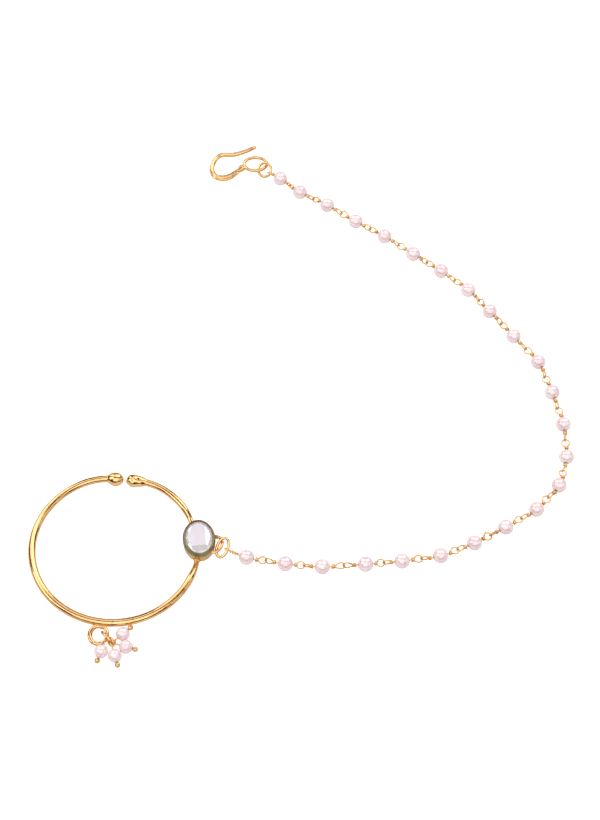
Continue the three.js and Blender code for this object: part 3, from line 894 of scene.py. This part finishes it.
def make_hook_eye():
    """The eye, whose end runs past a full turn onto the bend, and the solder that holds it."""
    eye = oval_points(EYE_CENTRE, hook_along, hook_across, *eye_halves, -24, 372, 80)
    eye += [hook_point(0.33, -0.12, 0.1), hook_point(0.38, -0.22, 0.16)]
    loop = draw_wire(eye, HOOK_EYE_WIRE / 2 * HOOK_EYE_SWELL, 7)
    finish_piece(loop, "hook_eye", [wire_gold], ["hook"])
    solder = blob(hook_point(0.265, -0.22, 0.02), (0.75, 0.5, 0.42), hook_along, 0.3, 7.7)
    finish_piece(solder, "hook_solder", [solder_gold], ["hook"], 60)


make_hook_bend()
make_hook_tip()
make_hook_eye()

HOOK_RING_OFFSET = 0.45
hook_pull = pearl_centres[-1] - EYE_CENTRE
hook_pull.z = 0
hook_pull.normalize()
eye_turn = math.atan2(hook_pull.dot(hook_across) * eye_halves[0], hook_pull.dot(hook_along) * eye_halves[1])
eye_edge = math.hypot(eye_halves[0] * math.cos(eye_turn), eye_halves[1] * math.sin(eye_turn))
hook_ring_centre = EYE_CENTRE + hook_pull * (eye_edge + HOOK_RING_OFFSET)
hook_ring_end = hook_ring_centre + hook_pull * hook_ring_radius
make_jump_ring(
    "hook_jump_ring", "hook_ring", hook_ring_centre, (hook_pull, leaning(hook_pull, HOOK_RING_LEAN)),
    (hook_ring_radius, hook_ring_radius), HOOK_RING_WIRE, 60,
)

# Chain
LINK_WIRE = 0.33
COIL_RADIUS = 0.33
TWIST_RADIUS = 0.24
PEARL_GAP = 0.14
POLE = PEARL / 2 + PEARL_GAP
END_LOOP = 0.6
WIDEST_LOOP = 0.8
COIL_STEPS = 12
END_WRAPS = 3
COIL_CLEARANCE = 0.19
WIRE_END_LIFT = 0.11
LINK_SWAY = 12


def link_span(i):
    """Where a link's two loops reach to: halfway to its neighbours, or to the ring at the chain's end."""
    centre = pearl_centres[i]
    start = chain_ring_end if i == 0 else (pearl_centres[i - 1] + centre) / 2
    end = hook_ring_end if i == len(pearl_centres) - 1 else (centre + pearl_centres[i + 1]) / 2
    return start, end


def link_end(pole, target, ring, lean, turns_back):
    """One end of a link: the stem out of the pearl, the loop, then the coil back round the stem."""
    axis = (target - pole).normalized()
    side = Matrix.Rotation(math.radians(lean), 3, axis) @ leaning(axis, 0)
    normal = axis.cross(side)
    room = (target - pole).length
    if ring:
        half, bend, collar = END_LOOP, room, room - END_LOOP
    else:
        half = min(WIDEST_LOOP, room * 0.39)
        bend = room + LINK_WIRE / 2 - half
        collar = room * 0.35
    points = [pole, pole + axis * (collar - 0.12)]
    rise = math.atan2(half - 0.1, max(bend - collar, 0.38))
    count = 20
    for i in range(count + 1):
        turn = math.pi / 2 + rise - (math.pi + 2 * rise) * i / count
        points.append(pole + axis * (bend + half * math.cos(turn)) + side * (half * math.sin(turn)))
    wraps = END_WRAPS if ring else max(round(collar / LINK_WIRE - 0.3), 1)
    coil = TWIST_RADIUS if ring else COIL_RADIUS
    steps = COIL_STEPS * wraps + turns_back
    for i in range(steps + 1):
        turn = math.pi + 2 * math.pi * i / COIL_STEPS
        distance = mix(collar - 0.02, COIL_CLEARANCE, i / steps)
        lift = coil + (WIRE_END_LIFT * max(i - steps + 3, 0) / 3)
        place = pole + axis * distance + side * (lift * math.cos(turn))
        points.append(place + normal * (lift * math.sin(turn)))
    return points


def make_links():
    """Wrapped links, whose two loops stand a quarter turn apart so that each hooks the next."""
    links = []
    for i, centre in enumerate(pearl_centres):
        first = i == 0
        last = i == len(pearl_centres) - 1
        start, end = link_span(i)
        axis = (end - start).normalized()
        sway = LINK_SWAY * math.sin(math.radians(137.5 * i))
        back = link_end(centre - axis * POLE, start, first, 57 if first else 90 + sway, (5 * i) % 7)
        front = link_end(centre + axis * POLE, end, last, 50 if last else sway, (3 * i + 2) % 7)
        links.append(draw_wire(list(reversed(back)) + front, LINK_WIRE / 2, 3))
    chain = join_pieces(links)
    finish_piece(chain, "chain_links", [link_gold], ["chain_wire"])


make_links()


# Pearls
PEARL_BORE = 0.68
# The bore's wall from its mouth inwards: how far each step goes in, and how much narrower it gets.
BORE_STEPS = [(0.05, 0.86), (0.1, 0.92), (0.5, 1)]
PEARL_LUMPS = 0.012


def make_bead(diameter):
    """A pearl drilled along Z: a sphere whose poles are cut away and turned in as a bore."""
    deselect()
    bpy.ops.mesh.primitive_uv_sphere_add(
        segments=40, ring_count=26, radius=diameter / 2 * MM, location=(0, 0, 0),
    )
    bead = bpy.context.object
    bpy.ops.object.mode_set(mode="EDIT")
    reach = math.sqrt(diameter**2 - PEARL_BORE**2) / 2 * MM
    for sign in (1, -1):
        bpy.ops.mesh.select_all(action="SELECT")
        bpy.ops.mesh.bisect(
            plane_co=(0, 0, sign * reach), plane_no=(0, 0, sign), clear_outer=True, threshold=FINE_CUT,
        )
    bpy.ops.mesh.select_all(action="DESELECT")
    bpy.ops.object.mode_set(mode="OBJECT")
    for sign in (1, -1):
        for vertex in bead.data.vertices:
            vertex.select = abs(vertex.co.z - sign * reach) < 0.00001
        for edge in bead.data.edges:
            edge.select = all(bead.data.vertices[k].select for k in edge.vertices)
        bpy.ops.object.mode_set(mode="EDIT")
        for depth, scale in BORE_STEPS:
            bpy.ops.mesh.extrude_region_move(TRANSFORM_OT_translate={"value": (0, 0, -sign * depth * MM)})
            bpy.ops.transform.resize(value=(scale, scale, 1))
        bpy.ops.mesh.edge_face_add()
        bpy.ops.mesh.select_all(action="DESELECT")
        bpy.ops.object.mode_set(mode="OBJECT")
    bpy.ops.object.mode_set(mode="EDIT")
    bpy.ops.mesh.select_all(action="SELECT")
    bpy.ops.mesh.normals_make_consistent(inside=False)
    bpy.ops.object.mode_set(mode="OBJECT")
    return bead


def place_bead(master, name, centre, axis, seed, node):
    """A copy of the pearl, threaded along its wire, with lumps and a turn of its own."""
    bead = master.copy()
    bead.data = master.data.copy()
    bpy.context.scene.collection.objects.link(bead)
    turn = Vector((0, 0, 1)).rotation_difference(axis).to_matrix().to_4x4()
    spin = Matrix.Rotation(seed * 1.3, 4, "Z")
    shift = Vector((seed * 3.7, seed * 1.9, seed))
    for vertex in bead.data.vertices:
        swell = PEARL_LUMPS * noise.noise(vertex.co / MM * 0.55 + shift) - PEARL_LUMPS
        vertex.co *= 1 + swell
    bead.data.transform(Matrix.Translation(centre * MM) @ turn @ spin)
    finish_piece(bead, name, [pearl_nacre], [node], 60)


def make_chain_pearls():
    """One pearl for each link, threaded from the link's first loop to its second."""
    master = make_bead(PEARL)
    for i, centre in enumerate(pearl_centres):
        start, end = link_span(i)
        axis = (end - start).normalized()
        number = f"{i + 1:02d}"
        place_bead(master, f"pearl_{number}", centre, axis, i + 1, f"chain_pearl_{number}")
    bpy.data.objects.remove(master)


make_chain_pearls()

# Drops
JUMP_LENGTH = 3.6
JUMP_WIDTH = 2.85
JUMP_WIRE = 0.55
JUMP_SEAT = math.radians(-10)
JUMP_LEAN = 75
JUMP_HEADING = -46
JUMP_SWELL = 1.12
DROP_PEARL = 2.8
DROP_SPACING = 0.1
DROPS = 4
DROP_STATION_STEP = 40
FAN_STEP = 61.5
FAN_START = 47.5
PIN_WIRE = 0.34
PIN_SWELL = 1.12
PIN_PLAY = 0.17
PIN_BALL = 0.58
jump_halves = ((JUMP_LENGTH - JUMP_WIRE) / 2, (JUMP_WIDTH - JUMP_WIRE) / 2)
jump_out = polar(1, JUMP_HEADING)
jump_up = leaning(-jump_out, JUMP_LEAN)
hold = DROP_RING_CENTRE + drop_side * (drop_ring_halves[1] * math.cos(JUMP_SEAT))
hold += drop_down * (drop_ring_halves[0] * math.sin(-JUMP_SEAT))
JUMP_CENTRE = hold + jump_out * (JUMP_LENGTH / 2 - JUMP_WIRE - DROP_RING_WIRE - 0.1)
JUMP_CENTRE.z = jump_halves[1] * math.sin(math.radians(JUMP_LEAN)) + (JUMP_WIRE + 0.1) / 2
make_jump_ring(
    "drop_jump_ring_wire", "drop_jump_ring", JUMP_CENTRE, (jump_out, jump_up), jump_halves,
    JUMP_WIRE, 140, JUMP_SWELL,
)


def make_drops():
    """Four pearls fanned out round the jump ring's end, each on a pin from its eye to its ball."""
    bead = make_bead(DROP_PEARL)
    fan_radius = (DROP_PEARL + DROP_SPACING) / 2 / math.sin(math.radians(FAN_STEP / 2))
    fan_centre = JUMP_CENTRE + jump_out * jump_halves[0]
    eye_radius = (JUMP_WIRE + PIN_WIRE) / 2 + PIN_PLAY
    for i in range(DROPS):
        station = math.radians(DROP_STATION_STEP * (i - 1))
        hang = JUMP_CENTRE + jump_out * (jump_halves[0] * math.cos(station))
        hang += jump_up * (jump_halves[1] * math.sin(station))
        tangent = jump_up * (jump_halves[1] * math.cos(station))
        tangent -= jump_out * (jump_halves[0] * math.sin(station))
        place = fan_centre + polar(fan_radius, FAN_START - i * FAN_STEP)
        place.z = DROP_PEARL / 2
        axis = (place - hang).normalized()
        beside = tangent.cross(axis).normalized()
        points = oval_points(hang, axis, beside, eye_radius, eye_radius, 32, 318, 30)
        points += [hang + axis * (eye_radius + 0.22) - beside * 0.06, hang + axis * (eye_radius + 0.5)]
        ball = place + axis * (DROP_PEARL / 2 + PIN_BALL - 0.05)
        points.append(ball)
        pin = draw_wire(points, PIN_WIRE / 2 * PIN_SWELL, 4)
        head = blob(ball, (PIN_BALL, PIN_BALL * 0.98, PIN_BALL * 0.98), axis, 0.04, i + 0.5)
        pin = join_pieces([pin, head])
        finish_piece(pin, f"head_pin_{i + 1}", [wire_gold], [f"drop_pin_{i + 1}"], 60)
        place_bead(bead, f"pearl_drop_{i + 1}", place, axis, 40 + i, f"drop_pearl_{i + 1}")
    bpy.data.objects.remove(bead)


make_drops()


# Stage
def make_floor():
    """The pale floor, which glows evenly to the camera and less to the jewel."""
    deselect()
    bpy.ops.mesh.primitive_plane_add(size=6, location=(0, 0, -0.00002))
    floor = bpy.context.object
    floor.name = "floor"
    material = new_material("pale_floor")
    tree = material.node_tree
    shader = principled(material)
    shader.inputs["Base Color"].default_value = (0.5, 0.5, 0.5, 1)
    shader.inputs["Roughness"].default_value = 0.9
    shader.inputs["Specular IOR Level"].default_value = 0.1
    shader.inputs["Emission Color"].default_value = (1, 1, 1, 1)
    lit = 0.34
    seen = 0.95
    path = tree.nodes.new("ShaderNodeLightPath")
    glow = add_range(tree, path.outputs["Is Camera Ray"], 0, 1, lit, seen)
    tree.links.new(glow, shader.inputs["Emission Strength"])
    floor.data.materials.append(material)


PANEL_DISTANCE = 1.2


def add_panel(name, direction, width, height, brightness, colour=(1, 1, 1)):
    """A soft panel of an even brightness that faces the jewel."""
    data = bpy.data.lights.new(name, "AREA")
    data.shape = "RECTANGLE"
    data.size = width
    data.size_y = height
    data.energy = brightness * math.pi * width * height
    data.color = colour
    panel = bpy.data.objects.new(name, data)
    bpy.context.scene.collection.objects.link(panel)
    aim = Vector((0.02, 0.03, 0))
    panel.location = aim + Vector(direction).normalized() * PANEL_DISTANCE
    panel.rotation_euler = (aim - panel.location).to_track_quat("-Z", "Y").to_euler()


def raised(degrees):
    """A direction at an angle from the front edge of the floor, over the jewel, to its back edge."""
    return (0, -math.cos(math.radians(degrees)), math.sin(math.radians(degrees)))


def make_world():
    """The dim, warm room round the panels, which the gold and the pearls mirror."""
    world = bpy.data.worlds.new("studio")
    world.use_nodes = True
    background = world.node_tree.nodes["Background"]
    background.inputs["Color"].default_value = (0.16, 0.08, 0.04, 1)
    background.inputs["Strength"].default_value = 0.5
    bpy.context.scene.world = world


make_floor()
# Each panel's direction from the jewel, its width and height in metres, and its brightness.
add_panel("front_panel", raised(57), 1.7, 1.3, 1.65)
add_panel("back_panel", raised(132), 0.42, 1.2, 1.1, (0.95, 0.91, 1))
add_panel("back_left_panel", (-0.62, 0.72, 0.8), 0.62, 1.1, 2)
add_panel("back_right_panel", (0.5, 0.72, 0.8), 0.72, 1.1, 2.2)
add_panel("left_panel", (-1, -0.15, 0.75), 0.7, 0.7, 2.4)
add_panel("right_panel", (1, -0.15, 0.55), 0.9, 0.7, 1.1)
make_world()
bpy.context.scene.view_settings.view_transform = "Standard"
